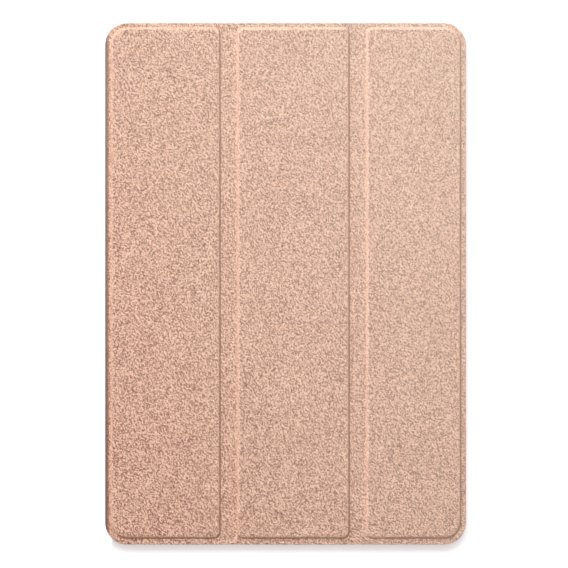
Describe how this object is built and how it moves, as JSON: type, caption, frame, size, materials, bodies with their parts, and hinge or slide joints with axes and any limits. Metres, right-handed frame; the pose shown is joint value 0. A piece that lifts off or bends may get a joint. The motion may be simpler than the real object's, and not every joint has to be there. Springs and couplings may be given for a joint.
{
  "type": "tablet computer in a folio case",
  "caption": "Slim tablet computer inside a grained leather folio whose padded cover folds at a spine and two creases into a prism stand.",
  "frame": {"origin": "centre of the back face that the closed case rests on", "axes": "+X from the spine to the free edge, +Y up the portrait height, +Z out of the screen"},
  "size_m": [0.177, 0.2554, 0.0125],
  "materials": {
    "rose_leather": "pebbled grain, semi-matt",
    "rose_microfibre": "short napped",
    "rose_plastic": "fine moulded",
    "silver_aluminium": "fine blasted, anodised",
    "front_glass": "polished, printed black behind",
    "camera_glass": "polished",
    "panel_glass": "glossy film",
    "black_adhesive": "matt",
    "backlight_film": "satin white",
    "battery_pouch": "laminated foil",
    "circuit_board": "solder mask",
    "flex_polyimide": "film",
    "stamped_steel": "stamped",
    "magnet_nickel": "plated",
    "black_plastic": "moulded",
    "cream_plastic": "moulded",
    "cone_film": "pressed film",
    "fibreboard": "pressed board"
  },
  "bodies": {
    "tablet": {"back_skin": "rose_leather", "back_shell": "rose_plastic", "rear_housing": "silver_aluminium", "cover_glass": "front_glass", "glass_gasket": "black_adhesive", "lcd_panel": "panel_glass", "backlight_unit": "backlight_film", "mid_plate": "stamped_steel", "battery_cells": "battery_pouch", "battery_board": "circuit_board", "battery_cable": "flex_polyimide", "main_board": "circuit_board", "board_chips": "black_plastic", "board_connectors": "cream_plastic", "shield_cans": "stamped_steel", "port_board": "circuit_board", "usb_receptacle": "stamped_steel", "usb_tongue": "black_plastic", "headphone_jack": "black_plastic", "speaker_left": "black_plastic", "speaker_right": "black_plastic", "speaker_cones": "cone_film", "speaker_meshes": "stamped_steel", "microphone": "stamped_steel", "rear_camera": "black_plastic", "camera_ring": "silver_aluminium", "camera_lens": "camera_glass", "front_camera": "black_plastic", "light_sensor": "black_plastic", "hall_sensor": "black_plastic", "antennas": "flex_polyimide", "volume_flex": "flex_polyimide", "power_flex": "flex_polyimide", "switches": "stamped_steel", "display_flex": "flex_polyimide", "port_flex": "flex_polyimide", "card_reader": "stamped_steel", "screws": "stamped_steel"},
    "spine": {"spine_skin": "rose_leather", "spine_board": "fibreboard", "spine_lining": "rose_microfibre"},
    "panel_1": {"cover_skin_1": "rose_leather", "cover_board_1": "fibreboard", "cover_lining_1": "rose_microfibre", "stand_magnets": "magnet_nickel"},
    "panel_2": {"cover_skin_2": "rose_leather", "cover_board_2": "fibreboard", "cover_lining_2": "rose_microfibre"},
    "panel_3": {"cover_skin_3": "rose_leather", "cover_board_3": "fibreboard", "cover_lining_3": "rose_microfibre", "closing_magnets": "magnet_nickel", "sleep_magnet": "magnet_nickel"},
    "power_button": {"power_button": "silver_aluminium"},
    "volume_up_button": {"volume_up_button": "silver_aluminium"},
    "volume_down_button": {"volume_down_button": "silver_aluminium"},
    "card_tray": {"card_tray": "silver_aluminium", "memory_card": "black_plastic"}
  },
  "joints": [
    {"name": "spine_fold", "type": "hinge", "parent": "tablet", "child": "spine", "pos_m": [-0.0885, 0, 0], "axis": [0, -1, 0], "range_deg": [0, 178]},
    {"name": "cover_fold", "type": "hinge", "parent": "spine", "child": "panel_1", "pos_m": [-0.0885, 0, 0.01135], "axis": [0, -1, 0], "range_deg": [0, 110]},
    {"name": "panel_fold_1", "type": "hinge", "parent": "panel_1", "child": "panel_2", "pos_m": [-0.028, 0, 0.01135], "axis": [0, -1, 0], "range_deg": [0, 127]},
    {"name": "panel_fold_2", "type": "hinge", "parent": "panel_2", "child": "panel_3", "pos_m": [0.0352, 0, 0.01135], "axis": [0, -1, 0], "range_deg": [0, 117]},
    {"name": "power_button_press", "type": "slide", "parent": "tablet", "child": "power_button", "axis": [0, -1, 0], "range_m": [0, 0.00035], "stiffness_N_per_m": 400},
    {"name": "volume_up_press", "type": "slide", "parent": "tablet", "child": "volume_up_button", "axis": [-1, 0, 0], "range_m": [0, 0.00035], "stiffness_N_per_m": 400},
    {"name": "volume_down_press", "type": "slide", "parent": "tablet", "child": "volume_down_button", "axis": [-1, 0, 0], "range_m": [0, 0.00035], "stiffness_N_per_m": 400},
    {"name": "card_tray_slide", "type": "slide", "parent": "tablet", "child": "card_tray", "axis": [1, 0, 0], "range_m": [0, 0.022]}
  ]
}
